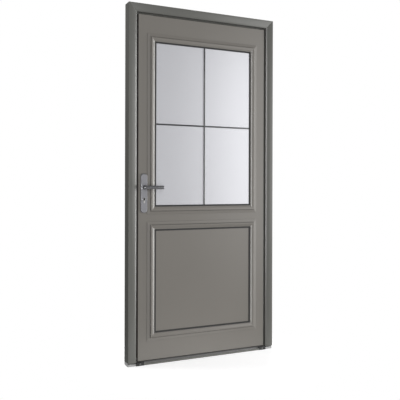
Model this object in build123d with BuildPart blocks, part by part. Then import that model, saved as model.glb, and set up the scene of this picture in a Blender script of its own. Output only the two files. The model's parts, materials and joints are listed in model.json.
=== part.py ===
from build123d import *
import os

# Half-glazed entrance door in its frame, in millimetres. X runs to the right as seen from outside,
# Y runs into the building and Z runs up. The origin lies under the middle of the threshold.

# Frame
FRAME_WIDTH = 990.0
FRAME_HEIGHT = 2150.0
FRAME_DEPTH = 70.0
FRAME_FACE = 50.0
FRAME_BEVEL_WIDTH = 13.0
FRAME_BEVEL_DEPTH = 5.0
TONGUE_SETBACK = 28.0
TONGUE_THICKNESS = 8.0
TONGUE_REACH = 6.0
GROOVE_SPACE = 6.0
GROOVE_WIDTH = 20.0
GROOVE_DEPTH = 6.0
SEAL_THICKNESS = 6.0
SEAL_CLEARANCE = 2.5
FIXING_RADIUS = 4.0
FIXING_SPAN_OUTER = 1750.0
FIXING_SPAN_INNER = 600.0

# Threshold
THRESHOLD_HEIGHT = 20.0
THRESHOLD_FRONT_HEIGHT = 12.0
THRESHOLD_SLOPE = 18.0
NOSING_THICKNESS = 6.0
NOSING_FOOT = 1.0
NOSING_EDGE = 2.0
END_BLOCK_LENGTH = 50.0
END_BLOCK_DEPTH = 12.0
END_BLOCK_EDGE = 3.0
SILL_GROOVES = 4
SILL_GROOVE_PITCH = 8.0
SILL_GROOVE_WIDTH = 3.0
SILL_GROOVE_DEPTH = 1.5

# Leaf
LEAF_GAP = 13.0
LEAF_SETBACK = 10.0
LEAF_UNDERCUT = 7.0
LEAF_EDGE = 1.5
LIP_OVERLAP = 8.0
LIP_CLEARANCE = 5.0
LIP_THICKNESS = 5.0
SIDE_MARGIN = 57.0
TOP_MARGIN = 109.0
MID_MARGIN = 45.0
BOTTOM_MARGIN = 114.0
PANEL_FRAME_HEIGHT = 711.0
SWEEP_WIDTH = 20.0
SWEEP_CLEARANCE = 1.5

# Mouldings and what they hold
MOULDING_WIDTH = 45.0
MOULDING_HEIGHT = 12.0
MOULDING_SEAT = 35.0
MOULDING_EDGE = 3.0
BAND_WIDTH = 17.0
BAND_RISE = 2.0
QUIRK_WIDTH = 3.0
CREST_WIDTH = 3.0
CREST_ROUND = 2.0
INNER_FLAT = 2.0
INNER_EDGE = 1.0
INFILL_PROUD = 2.0
INFILL_CLEARANCE = 2.0
GASKET_THICKNESS = 3.0
GASKET_SIGHT = 10.0
GASKET_HIDDEN = 7.0
OUTER_PANE = 8.0
OUTER_CAVITY = 28.0
FROSTED_PANE = 4.0
INNER_PANE = 6.0
SPACER_WIDTH = 12.0
SPACER_INSET = 3.0
BAR_WIDTH = 9.0
BAR_DEPTH = 6.0

# Handle and lock
BACKSET = 35.0
LEVER_HEIGHT = 1058.0
LEVER_TO_KEY = 70.0
PLATE_WIDTH = 42.0
PLATE_HEIGHT = 234.0
PLATE_THICKNESS = 8.0
PLATE_CORNER = 19.0
PLATE_EDGE = 3.0
LEVER_RADIUS = 11.0
LEVER_REACH = 108.0
LEVER_STANDOFF = 46.0
LEVER_END_EDGE = 3.0
COLLAR_RADIUS = 13.5
COLLAR_LENGTH = 7.0
HANDLE_CLEARANCE = 0.3
SPINDLE_SIDE = 8.0
SPINDLE_BORE = 7.0
BARREL_RADIUS = 8.5
BARREL_LEG_WIDTH = 10.0
BARREL_LEG = 19.5
BARREL_PROUD = 3.0
BARREL_CLEARANCE = 0.3
KEYWAY_WIDTH = 2.2
KEYWAY_HEIGHT = 9.0
KEYWAY_DEPTH = 12.0
FACEPLATE_LENGTH = 1700.0
FACEPLATE_THICKNESS = 3.0
BOLT_WIDTH = 13.0
BOLT_LENGTH = 14.0
BOLT_CLEARANCE = 0.3
LATCH_HEIGHT = 30.0
LATCH_BEVEL = 5.0
DEADBOLT_HEIGHT = 36.0
DEADBOLT_DROP = 34.0
STRIKE_LENGTH = 220.0
STRIKE_THICKNESS = 4.0
STRIKE_CLEARANCE = 0.2
STRIKE_ROOM = 3.0
STRIKE_POCKET = 16.0

# Hinges
HINGE_HEIGHT = 100.0
HINGE_END_DISTANCE = 230.0
KNUCKLE_RADIUS = 9.0
KNUCKLE_GAP = 1.0
LEAF_KNUCKLE = 34.0
PIN_RADIUS = 5.0
PIN_CLEARANCE = 0.05
HINGE_PLATE = 5.0
FRAME_PLATE_WIDTH = 34.0
LEAF_PLATE_WIDTH = 46.0
HINGE_AXIS_OFFSET = 2.0

# Derived planes and places
FRAME_FRONT = -FRAME_DEPTH / 2
FRAME_BACK = FRAME_DEPTH / 2
LEAF_FRONT = FRAME_FRONT + LEAF_SETBACK
LIP_FRONT = FRAME_BACK + LIP_CLEARANCE
LEAF_BACK = LIP_FRONT + LIP_THICKNESS
LEAF_HALF = FRAME_WIDTH / 2 - FRAME_FACE - LEAF_GAP
LEAF_BOTTOM = THRESHOLD_HEIGHT + LEAF_UNDERCUT
LEAF_TOP = FRAME_HEIGHT - FRAME_FACE - LEAF_GAP
LIP_REACH = LEAF_GAP + LIP_OVERLAP
TONGUE_FRONT = FRAME_FRONT + TONGUE_SETBACK
TONGUE_BACK = TONGUE_FRONT + TONGUE_THICKNESS
GROOVE_FRONT = TONGUE_BACK + GROOVE_SPACE
GROOVE_BACK = GROOVE_FRONT + GROOVE_WIDTH
LOCK_Y = (GROOVE_FRONT + GROOVE_BACK) / 2
NOSING_BACK = FRAME_FRONT + NOSING_THICKNESS

FRAMING_HALF = LEAF_HALF - SIDE_MARGIN
GLASS_FRAME_TOP = LEAF_TOP - TOP_MARGIN
PANEL_FRAME_BOTTOM = LEAF_BOTTOM + BOTTOM_MARGIN
PANEL_FRAME_TOP = PANEL_FRAME_BOTTOM + PANEL_FRAME_HEIGHT
GLASS_FRAME_BOTTOM = PANEL_FRAME_TOP + MID_MARGIN
STILE_WIDTH = SIDE_MARGIN + MOULDING_SEAT
RAIL_HALF = LEAF_HALF - STILE_WIDTH
INFILL_FRONT = LEAF_FRONT - INFILL_PROUD
INFILL_BACK = LEAF_BACK + INFILL_PROUD
SIGHT_INSET = MOULDING_WIDTH + GASKET_SIGHT
INFILL_INSET = MOULDING_SEAT + INFILL_CLEARANCE

HANDLE_X = -LEAF_HALF + BACKSET
KEY_HEIGHT = LEVER_HEIGHT - LEVER_TO_KEY
PLATE_Z = (LEVER_HEIGHT + KEY_HEIGHT) / 2
DEADBOLT_Z = KEY_HEIGHT - DEADBOLT_DROP
HINGE_X = LEAF_HALF + LIP_REACH + HINGE_AXIS_OFFSET
HINGE_Y = LEAF_BACK + KNUCKLE_GAP + KNUCKLE_RADIUS

X, Y, Z = Vector(1, 0, 0), Vector(0, 1, 0), Vector(0, 0, 1)

os.makedirs("parts", exist_ok=True)


def save(builder, name):
    builder.part.label = name
    export_step(builder.part, f"parts/{name}.step")


# Frame: two jambs and a head of one extruded section, mitred at the top corners.
# The section is drawn from the wall side inwards, and its second coordinate is Y.
FRAME_SECTION = [
    (0, FRAME_FRONT),
    (FRAME_FACE - FRAME_BEVEL_WIDTH, FRAME_FRONT),
    (FRAME_FACE, FRAME_FRONT + FRAME_BEVEL_DEPTH),
    (FRAME_FACE, TONGUE_FRONT),
    (FRAME_FACE + TONGUE_REACH, TONGUE_FRONT),
    (FRAME_FACE + TONGUE_REACH, TONGUE_BACK),
    (FRAME_FACE, TONGUE_BACK),
    (FRAME_FACE, GROOVE_FRONT),
    (FRAME_FACE - GROOVE_DEPTH, GROOVE_FRONT),
    (FRAME_FACE - GROOVE_DEPTH, GROOVE_BACK),
    (FRAME_FACE, GROOVE_BACK),
    (FRAME_FACE, FRAME_BACK),
    (0, FRAME_BACK),
]
SEAL_ROOT = FRAME_FACE + TONGUE_REACH
SEAL_TIP = FRAME_FACE + LEAF_GAP - SEAL_CLEARANCE
SEAL_MID = (TONGUE_FRONT + TONGUE_BACK) / 2
SEAL_SHOULDER = (SEAL_ROOT + SEAL_TIP) / 2
SEAL_SECTION = [
    (SEAL_ROOT, SEAL_MID - SEAL_THICKNESS / 2),
    (SEAL_SHOULDER, SEAL_MID - SEAL_THICKNESS / 2),
    (SEAL_TIP, SEAL_MID),
    (SEAL_SHOULDER, SEAL_MID + SEAL_THICKNESS / 2),
    (SEAL_ROOT, SEAL_MID + SEAL_THICKNESS / 2),
]
STRIKE_PLANE = Plane(
    origin=(-FRAME_WIDTH / 2 + FRAME_FACE - GROOVE_DEPTH, LOCK_Y, PLATE_Z), x_dir=Y, z_dir=X
)
STRIKE_WINDOWS = ((LATCH_HEIGHT, LEVER_HEIGHT), (DEADBOLT_HEIGHT, DEADBOLT_Z))
CORNERS = {side: (side * FRAME_WIDTH / 2, 0, FRAME_HEIGHT) for side in (-1, 1)}
MITRES = {side: Plane(origin=CORNERS[side], z_dir=(-side, 0, 1)) for side in (-1, 1)}
HEAD_PLANE = Plane(origin=CORNERS[-1], x_dir=-Z, z_dir=X)


def jamb_plane(side):
    return Plane(origin=CORNERS[side], x_dir=(-side, 0, 0), z_dir=(0, 0, -side))


for name, side in (("latch_jamb", -1), ("hinge_jamb", 1)):
    wall_face = Plane(
        origin=(side * FRAME_WIDTH / 2, LOCK_Y, FRAME_HEIGHT / 2), x_dir=Y, z_dir=(-side, 0, 0)
    )
    with BuildPart() as jamb:
        with BuildSketch(jamb_plane(side)):
            with BuildLine():
                Polyline(*FRAME_SECTION, close=True)
            make_face()
        extrude(amount=FRAME_HEIGHT - THRESHOLD_HEIGHT, dir=-Z)
        split(bisect_by=MITRES[side], keep=Keep.BOTTOM)
        with BuildSketch(wall_face):
            for span in (FIXING_SPAN_OUTER, FIXING_SPAN_INNER):
                with GridLocations(0, span, 1, 2):
                    Circle(FIXING_RADIUS)
        extrude(amount=FRAME_FACE, mode=Mode.SUBTRACT)
        if name == "latch_jamb":
            with BuildSketch(STRIKE_PLANE):
                for height, z in STRIKE_WINDOWS:
                    with Locations((0, z - PLATE_Z)):
                        Rectangle(BOLT_WIDTH + STRIKE_ROOM, height + STRIKE_ROOM)
            extrude(amount=-STRIKE_POCKET, mode=Mode.SUBTRACT)
    save(jamb, name)

with BuildPart() as frame_head:
    with BuildSketch(HEAD_PLANE):
        with BuildLine():
            Polyline(*FRAME_SECTION, close=True)
        make_face()
    extrude(amount=FRAME_WIDTH)
    for side in (-1, 1):
        split(bisect_by=MITRES[side], keep=Keep.TOP)
save(frame_head, "frame_head")

# Rubber seals clipped on the frame's tongue, mitred like the frame.
for name, side in (("latch_jamb_seal", -1), ("hinge_jamb_seal", 1)):
    with BuildPart() as jamb_seal:
        with BuildSketch(jamb_plane(side)):
            with BuildLine():
                Polyline(*SEAL_SECTION, close=True)
            make_face()
        extrude(amount=FRAME_HEIGHT - THRESHOLD_HEIGHT, dir=-Z)
        split(bisect_by=MITRES[side], keep=Keep.BOTTOM)
    save(jamb_seal, name)

with BuildPart() as head_seal:
    with BuildSketch(HEAD_PLANE):
        with BuildLine():
            Polyline(*SEAL_SECTION, close=True)
        make_face()
    extrude(amount=FRAME_WIDTH)
    for side in (-1, 1):
        split(bisect_by=MITRES[side], keep=Keep.TOP)
save(head_seal, "head_seal")

# Threshold: an extruded sill that runs under both jambs, with a fall to the outside and grooves on top.
SILL_PLANE = Plane(origin=(-FRAME_WIDTH / 2, 0, 0), x_dir=Y, z_dir=X)
SILL_GROOVES_MIDDLE = (NOSING_BACK + THRESHOLD_SLOPE + FRAME_BACK) / 2
with BuildPart() as threshold:
    with BuildSketch(SILL_PLANE):
        with BuildLine():
            Polyline(
                (NOSING_BACK, 0),
                (NOSING_BACK, THRESHOLD_FRONT_HEIGHT),
                (NOSING_BACK + THRESHOLD_SLOPE, THRESHOLD_HEIGHT),
                (FRAME_BACK, THRESHOLD_HEIGHT),
                (FRAME_BACK, 0),
                close=True,
            )
        make_face()
        with Locations((SILL_GROOVES_MIDDLE, THRESHOLD_HEIGHT)):
            with GridLocations(SILL_GROOVE_PITCH, 0, SILL_GROOVES, 1):
                Rectangle(SILL_GROOVE_WIDTH, 2 * SILL_GROOVE_DEPTH, mode=Mode.SUBTRACT)
    extrude(amount=FRAME_WIDTH)
save(threshold, "threshold")

# Painted strip that closes the front of the threshold between the end blocks.
NOSING_HALF = FRAME_WIDTH / 2 - FRAME_FACE - END_BLOCK_LENGTH
with BuildPart() as threshold_nosing:
    with BuildSketch(Plane(origin=(-NOSING_HALF, 0, 0), x_dir=Y, z_dir=X)):
        with BuildLine():
            Polyline(
                (NOSING_BACK, NOSING_FOOT),
                (NOSING_BACK, THRESHOLD_FRONT_HEIGHT),
                (FRAME_FRONT + NOSING_EDGE, THRESHOLD_FRONT_HEIGHT),
                (FRAME_FRONT, THRESHOLD_FRONT_HEIGHT - NOSING_EDGE),
                (FRAME_FRONT, NOSING_FOOT),
                close=True,
            )
        make_face()
    extrude(amount=2 * NOSING_HALF)
save(threshold_nosing, "threshold_nosing")

# Moulded end blocks that close the corners between threshold and jambs, scribed to the slope.
SLOPE_RISE = THRESHOLD_HEIGHT - THRESHOLD_FRONT_HEIGHT
BLOCK_SEAT = THRESHOLD_FRONT_HEIGHT + SLOPE_RISE * (END_BLOCK_DEPTH - NOSING_THICKNESS) / THRESHOLD_SLOPE
with BuildPart() as threshold_end_blocks:
    for side in (-1, 1):
        start = NOSING_HALF if side > 0 else -NOSING_HALF - END_BLOCK_LENGTH
        with BuildSketch(Plane(origin=(start, 0, 0), x_dir=Y, z_dir=X)):
            with BuildLine():
                Polyline(
                    (FRAME_FRONT, 0),
                    (FRAME_FRONT, THRESHOLD_HEIGHT - END_BLOCK_EDGE),
                    (FRAME_FRONT + END_BLOCK_EDGE, THRESHOLD_HEIGHT),
                    (FRAME_FRONT + END_BLOCK_DEPTH, THRESHOLD_HEIGHT),
                    (FRAME_FRONT + END_BLOCK_DEPTH, BLOCK_SEAT),
                    (NOSING_BACK, THRESHOLD_FRONT_HEIGHT),
                    (NOSING_BACK, 0),
                    close=True,
                )
            make_face()
        extrude(amount=END_BLOCK_LENGTH)
save(threshold_end_blocks, "threshold_end_blocks")

# Strike plate in the hardware groove of the latch jamb, with a window for each bolt.
with BuildPart() as strike_plate:
    with BuildSketch(STRIKE_PLANE):
        Rectangle(GROOVE_WIDTH - 2 * STRIKE_CLEARANCE, STRIKE_LENGTH)
        for height, z in STRIKE_WINDOWS:
            with Locations((0, z - PLATE_Z)):
                Rectangle(BOLT_WIDTH + STRIKE_ROOM, height + STRIKE_ROOM, mode=Mode.SUBTRACT)
    extrude(amount=STRIKE_THICKNESS)
save(strike_plate, "strike_plate")


# Leaf: stiles and rails with a lip that laps over the frame inside.
# The edge section is drawn from the leaf's outer edge inwards, and its second coordinate is Y.
def edge_section(width):
    return [
        (LEAF_EDGE, LEAF_FRONT),
        (width, LEAF_FRONT),
        (width, LEAF_BACK),
        (-LIP_REACH, LEAF_BACK),
        (-LIP_REACH, LIP_FRONT),
        (0, LIP_FRONT),
        (0, LEAF_FRONT + LEAF_EDGE),
    ]


BARREL_PLANE = Plane(origin=(HANDLE_X, LEAF_BACK, KEY_HEIGHT), x_dir=X, z_dir=-Y)
SPINDLE_PLANE = Plane(origin=(HANDLE_X, LEAF_BACK, LEVER_HEIGHT), x_dir=X, z_dir=-Y)
LEAF_THICKNESS = LEAF_BACK - LEAF_FRONT
LATCH_EDGE = Plane(origin=(-LEAF_HALF, LOCK_Y, (LEAF_BOTTOM + LEAF_TOP) / 2), x_dir=Y, z_dir=X)
LATCH_OFFSET = LEVER_HEIGHT - LATCH_EDGE.origin.Z
DEADBOLT_OFFSET = DEADBOLT_Z - LATCH_EDGE.origin.Z

for name, side in (("latch_stile", -1), ("hinge_stile", 1)):
    top_corner = Plane(
        origin=(side * LEAF_HALF, 0, LEAF_TOP), x_dir=(-side, 0, 0), z_dir=(0, 0, -side)
    )
    with BuildPart() as stile:
        with BuildSketch(top_corner):
            with BuildLine():
                Polyline(*edge_section(STILE_WIDTH), close=True)
            make_face()
        extrude(amount=LEAF_TOP - LEAF_BOTTOM, dir=-Z)
        with BuildSketch(top_corner):
            with Locations((-LIP_REACH, LIP_FRONT)):
                Rectangle(LIP_REACH + STILE_WIDTH, LIP_THICKNESS, align=(Align.MIN, Align.MIN))
        extrude(amount=LIP_REACH, dir=Z)
        if name == "latch_stile":
            with BuildSketch(LATCH_EDGE):
                Rectangle(GROOVE_WIDTH, FACEPLATE_LENGTH)
            extrude(amount=FACEPLATE_THICKNESS, mode=Mode.SUBTRACT)
            with BuildSketch(LATCH_EDGE):
                for height, offset_z in (
                    (LATCH_HEIGHT, LATCH_OFFSET),
                    (DEADBOLT_HEIGHT, DEADBOLT_OFFSET),
                ):
                    with Locations((0, offset_z)):
                        Rectangle(BOLT_WIDTH + 2 * BOLT_CLEARANCE, height + 2 * BOLT_CLEARANCE)
            extrude(amount=BOLT_LENGTH, mode=Mode.SUBTRACT)
            with BuildSketch(SPINDLE_PLANE):
                Circle(SPINDLE_BORE)
            extrude(amount=LEAF_THICKNESS, mode=Mode.SUBTRACT)
            with BuildSketch(BARREL_PLANE):
                Circle(BARREL_RADIUS + BARREL_CLEARANCE)
                with Locations((0, -BARREL_LEG)):
                    Circle(BARREL_LEG_WIDTH / 2 + BARREL_CLEARANCE)
                with Locations((0, -BARREL_LEG / 2)):
                    Rectangle(BARREL_LEG_WIDTH + 2 * BARREL_CLEARANCE, BARREL_LEG)
            extrude(amount=LEAF_THICKNESS, mode=Mode.SUBTRACT)
    save(stile, name)

with BuildPart() as top_rail:
    with BuildSketch(Plane(origin=(-RAIL_HALF, 0, LEAF_TOP), x_dir=-Z, z_dir=X)):
        with BuildLine():
            Polyline(*edge_section(TOP_MARGIN + MOULDING_SEAT), close=True)
        make_face()
    extrude(amount=2 * RAIL_HALF)
save(top_rail, "top_rail")

MID_RAIL_LOW = PANEL_FRAME_TOP - MOULDING_SEAT
MID_RAIL_HIGH = GLASS_FRAME_BOTTOM + MOULDING_SEAT
BOTTOM_RAIL_HIGH = PANEL_FRAME_BOTTOM + MOULDING_SEAT
TOP_RAIL_LOW = GLASS_FRAME_TOP - MOULDING_SEAT
for name, low, high in (
    ("mid_rail", MID_RAIL_LOW, MID_RAIL_HIGH),
    ("bottom_rail", LEAF_BOTTOM, BOTTOM_RAIL_HIGH),
):
    with BuildPart() as rail:
        with BuildSketch(Plane(origin=(-RAIL_HALF, 0, 0), x_dir=Y, z_dir=X)):
            with Locations((LEAF_FRONT, low)):
                Rectangle(LEAF_THICKNESS, high - low, align=(Align.MIN, Align.MIN))
        extrude(amount=2 * RAIL_HALF)
    save(rail, name)

# Brush sweep under the leaf.
with BuildPart() as bottom_sweep:
    with BuildSketch(Plane(origin=(0, LOCK_Y, LEAF_BOTTOM), x_dir=X, z_dir=-Z)):
        Rectangle(2 * LEAF_HALF, SWEEP_WIDTH)
    extrude(amount=LEAF_UNDERCUT - SWEEP_CLEARANCE)
save(bottom_sweep, "bottom_sweep")

# Infill: the insulated lower panel and the triple glazing, whose outer and middle panes are frosted.
PANE_HALF = FRAMING_HALF - INFILL_INSET
PANEL_LOW = PANEL_FRAME_BOTTOM + INFILL_INSET
PANEL_HIGH = PANEL_FRAME_TOP - INFILL_INSET
GLASS_LOW = GLASS_FRAME_BOTTOM + INFILL_INSET
GLASS_HIGH = GLASS_FRAME_TOP - INFILL_INSET
FROSTED_FRONT = INFILL_FRONT + OUTER_PANE + OUTER_CAVITY
for name, low, high, front, back in (
    ("lower_panel", PANEL_LOW, PANEL_HIGH, INFILL_FRONT, INFILL_BACK),
    ("outer_pane", GLASS_LOW, GLASS_HIGH, INFILL_FRONT, INFILL_FRONT + OUTER_PANE),
    ("frosted_pane", GLASS_LOW, GLASS_HIGH, FROSTED_FRONT, FROSTED_FRONT + FROSTED_PANE),
    ("inner_pane", GLASS_LOW, GLASS_HIGH, INFILL_BACK - INNER_PANE, INFILL_BACK),
):
    with BuildPart() as infill:
        with BuildSketch(Plane(origin=(0, back, (low + high) / 2), x_dir=X, z_dir=-Y)):
            Rectangle(2 * PANE_HALF, high - low)
        extrude(amount=back - front)
    save(infill, name)

# Spacer frames that keep the three panes apart.
GLASS_MID = (GLASS_LOW + GLASS_HIGH) / 2
SPACER_HALF = PANE_HALF - SPACER_INSET
SPACER_TALL = GLASS_HIGH - GLASS_LOW - 2 * SPACER_INSET
with BuildPart() as glazing_spacers:
    for front, back in (
        (INFILL_FRONT + OUTER_PANE, FROSTED_FRONT),
        (FROSTED_FRONT + FROSTED_PANE, INFILL_BACK - INNER_PANE),
    ):
        with BuildSketch(Plane(origin=(0, back, GLASS_MID), x_dir=X, z_dir=-Y)):
            Rectangle(2 * SPACER_HALF, SPACER_TALL)
            Rectangle(
                2 * (SPACER_HALF - SPACER_WIDTH), SPACER_TALL - 2 * SPACER_WIDTH, mode=Mode.SUBTRACT
            )
        extrude(amount=back - front)
save(glazing_spacers, "glazing_spacers")

# Cross of glazing bars bonded on the outer pane, from gasket to gasket.
SIGHT_HALF = FRAMING_HALF - SIGHT_INSET
with BuildPart() as glazing_bars:
    with BuildSketch(Plane(origin=(0, INFILL_FRONT, GLASS_MID), x_dir=X, z_dir=-Y)):
        Rectangle(2 * SIGHT_HALF, BAR_WIDTH)
        Rectangle(BAR_WIDTH, GLASS_FRAME_TOP - GLASS_FRAME_BOTTOM - 2 * SIGHT_INSET)
    extrude(amount=BAR_DEPTH)
save(glazing_bars, "glazing_bars")

# Gaskets between the infill and the mouldings, one frame on each face.
for name, low, high in (
    ("glass_gaskets", GLASS_FRAME_BOTTOM, GLASS_FRAME_TOP),
    ("panel_gaskets", PANEL_FRAME_BOTTOM, PANEL_FRAME_TOP),
):
    sight_tall = high - low - 2 * SIGHT_INSET
    gasket_width = GASKET_SIGHT + GASKET_HIDDEN
    with BuildPart() as gaskets:
        for back in (INFILL_FRONT, INFILL_BACK + GASKET_THICKNESS):
            with BuildSketch(Plane(origin=(0, back, (low + high) / 2), x_dir=X, z_dir=-Y)):
                Rectangle(2 * (SIGHT_HALF + gasket_width), sight_tall + 2 * gasket_width)
                Rectangle(2 * SIGHT_HALF, sight_tall, mode=Mode.SUBTRACT)
            extrude(amount=GASKET_THICKNESS)
    save(gaskets, name)

# Mouldings: mitred lengths of one section that clamp the infill from both faces of the leaf.
# The section runs from the outer edge inwards, with its height above the leaf's face: a rising
# band, a quirk, a crest, an ovolo that falls in one arc to a narrow flat, and a rebate for the gasket.
OVOLO_START = BAND_WIDTH + QUIRK_WIDTH
CREST_LOW = (OVOLO_START, MOULDING_HEIGHT - CREST_ROUND)
CREST_HIGH = (OVOLO_START + CREST_ROUND, MOULDING_HEIGHT)
CREST_END = (OVOLO_START + CREST_WIDTH, MOULDING_HEIGHT)
REBATE = INFILL_PROUD + GASKET_THICKNESS
OVOLO_FOOT = (MOULDING_WIDTH - INNER_FLAT, REBATE + INNER_EDGE)


def moulding_length(start, end, inward, outward):
    """One length between two corners of its frame, cut at 45 degrees at both ends."""
    along = (end - start).normalized()
    with BuildPart() as length:
        with BuildSketch(Plane(origin=start, x_dir=inward, z_dir=inward.cross(outward))):
            with BuildLine():
                Polyline(
                    (0, 0),
                    (0, MOULDING_EDGE),
                    (BAND_WIDTH, MOULDING_EDGE + BAND_RISE),
                    (BAND_WIDTH, MOULDING_EDGE - BAND_RISE),
                    (OVOLO_START, MOULDING_EDGE - BAND_RISE),
                    CREST_LOW,
                )
                TangentArc(CREST_LOW, CREST_HIGH, tangent=(0, 1))
                Line(CREST_HIGH, CREST_END)
                TangentArc(CREST_END, OVOLO_FOOT, tangent=(1, 0))
                Polyline(
                    OVOLO_FOOT,
                    (MOULDING_WIDTH, REBATE + INNER_EDGE),
                    (MOULDING_WIDTH, REBATE),
                    (MOULDING_SEAT, REBATE),
                    (MOULDING_SEAT, 0),
                    (0, 0),
                )
            make_face()
        extrude(amount=(end - start).length, dir=along)
        split(bisect_by=Plane(origin=start, z_dir=along - inward), keep=Keep.TOP)
        split(bisect_by=Plane(origin=end, z_dir=-along - inward), keep=Keep.TOP)
    return length.part


for face, face_y, outward in (("outer", LEAF_FRONT, -Y), ("inner", LEAF_BACK, Y)):
    for field, low, high in (
        ("glass", GLASS_FRAME_BOTTOM, GLASS_FRAME_TOP),
        ("panel", PANEL_FRAME_BOTTOM, PANEL_FRAME_TOP),
    ):
        low_left = Vector(-FRAMING_HALF, face_y, low)
        low_right = Vector(FRAMING_HALF, face_y, low)
        high_left = Vector(-FRAMING_HALF, face_y, high)
        high_right = Vector(FRAMING_HALF, face_y, high)
        with BuildPart() as uprights:
            add(moulding_length(low_left, high_left, X, outward))
            add(moulding_length(low_right, high_right, -X, outward))
        save(uprights, f"{face}_{field}_moulding_uprights")
        with BuildPart() as crosspieces:
            add(moulding_length(high_left, high_right, -Z, outward))
            add(moulding_length(low_left, low_right, Z, outward))
        save(crosspieces, f"{face}_{field}_moulding_crosspieces")

# Long backplates with a hole for the spindle and one for the lock barrel.
for name, face_y, outward in (("outer_backplate", LEAF_FRONT, -Y), ("inner_backplate", LEAF_BACK, Y)):
    plate_plane = Plane(origin=(HANDLE_X, face_y, PLATE_Z), x_dir=Z.cross(outward), z_dir=outward)
    with BuildPart() as backplate:
        with BuildSketch(plate_plane):
            RectangleRounded(PLATE_WIDTH, PLATE_HEIGHT, PLATE_CORNER)
        extrude(amount=PLATE_THICKNESS)
        front = max(backplate.faces().filter_by(Axis.Y), key=lambda f: f.center().dot(outward))
        chamfer(front.edges(), PLATE_EDGE)
        with BuildSketch(plate_plane):
            with Locations((0, LEVER_HEIGHT - PLATE_Z)):
                Circle(SPINDLE_BORE)
            with Locations((0, KEY_HEIGHT - PLATE_Z)):
                Circle(BARREL_RADIUS + BARREL_CLEARANCE)
            with Locations((0, KEY_HEIGHT - PLATE_Z - BARREL_LEG)):
                Circle(BARREL_LEG_WIDTH / 2 + BARREL_CLEARANCE)
            with Locations((0, KEY_HEIGHT - PLATE_Z - BARREL_LEG / 2)):
                Rectangle(BARREL_LEG_WIDTH + 2 * BARREL_CLEARANCE, BARREL_LEG)
        extrude(amount=PLATE_THICKNESS, mode=Mode.SUBTRACT)
    save(backplate, name)

# Lock barrel through the leaf, with a keyway at each end.
BARREL_FRONT = LEAF_FRONT - PLATE_THICKNESS - BARREL_PROUD
BARREL_BACK = LEAF_BACK + PLATE_THICKNESS + BARREL_PROUD
with BuildPart() as lock_barrel:
    with BuildSketch(Plane(origin=(HANDLE_X, BARREL_BACK, KEY_HEIGHT), x_dir=X, z_dir=-Y)):
        Circle(BARREL_RADIUS)
        with Locations((0, -BARREL_LEG)):
            Circle(BARREL_LEG_WIDTH / 2)
        with Locations((0, -BARREL_LEG / 2)):
            Rectangle(BARREL_LEG_WIDTH, BARREL_LEG)
    extrude(amount=BARREL_BACK - BARREL_FRONT)
    for end, inwards in ((BARREL_FRONT, Y), (BARREL_BACK, -Y)):
        with BuildSketch(Plane(origin=(HANDLE_X, end, KEY_HEIGHT), x_dir=X, z_dir=inwards)):
            Rectangle(KEYWAY_WIDTH, KEYWAY_HEIGHT)
        extrude(amount=KEYWAY_DEPTH, mode=Mode.SUBTRACT)
save(lock_barrel, "lock_barrel")

# Lock faceplate let into the latch edge, and the latch and bolt drawn back flush with it.
with BuildPart() as lock_faceplate:
    with BuildSketch(LATCH_EDGE):
        Rectangle(GROOVE_WIDTH, FACEPLATE_LENGTH)
        for height, offset_z in ((LATCH_HEIGHT, LATCH_OFFSET), (DEADBOLT_HEIGHT, DEADBOLT_OFFSET)):
            with Locations((0, offset_z)):
                Rectangle(BOLT_WIDTH + 2 * BOLT_CLEARANCE, height + 2 * BOLT_CLEARANCE, mode=Mode.SUBTRACT)
    extrude(amount=FACEPLATE_THICKNESS)
save(lock_faceplate, "lock_faceplate")

with BuildPart() as lock_bolts:
    with BuildSketch(LATCH_EDGE):
        for height, offset_z in ((LATCH_HEIGHT, LATCH_OFFSET), (DEADBOLT_HEIGHT, DEADBOLT_OFFSET)):
            with Locations((0, offset_z)):
                Rectangle(BOLT_WIDTH, height)
    extrude(amount=BOLT_LENGTH)
    latch_nose = lock_bolts.edges().filter_by(Axis.Z).group_by(Axis.X)[0].sort_by(Axis.Y)[-2:]
    chamfer(latch_nose.sort_by(Axis.Z)[-1], LATCH_BEVEL)
save(lock_bolts, "lock_bolts")

# Levers: round bars with a mitred elbow and a collar that turns on the backplate, joined by a spindle.
for name, face_y, outward in (("outer_lever", LEAF_FRONT, -Y), ("inner_lever", LEAF_BACK, Y)):
    base = Vector(HANDLE_X, face_y, LEVER_HEIGHT) + outward * (PLATE_THICKNESS + HANDLE_CLEARANCE)
    elbow = base + outward * LEVER_STANDOFF
    with BuildPart() as lever:
        with BuildLine() as route:
            Polyline(base, elbow, elbow + X * LEVER_REACH)
        with BuildSketch(Plane(origin=base, z_dir=outward)):
            Circle(LEVER_RADIUS)
        sweep(path=route.line, transition=Transition.RIGHT)
        tip = lever.faces().sort_by(Axis.X)[-1]
        chamfer(tip.edges(), LEVER_END_EDGE)
        with BuildSketch(Plane(origin=base, z_dir=outward)):
            Circle(COLLAR_RADIUS)
        extrude(amount=COLLAR_LENGTH)
    save(lever, name)

SPINDLE_FRONT = LEAF_FRONT - PLATE_THICKNESS - HANDLE_CLEARANCE
SPINDLE_BACK = LEAF_BACK + PLATE_THICKNESS + HANDLE_CLEARANCE
with BuildPart() as spindle:
    with BuildSketch(Plane(origin=(HANDLE_X, SPINDLE_BACK, LEVER_HEIGHT), x_dir=X, z_dir=-Y)):
        Rectangle(SPINDLE_SIDE, SPINDLE_SIDE)
    extrude(amount=SPINDLE_BACK - SPINDLE_FRONT)
save(spindle, "spindle")

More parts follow.
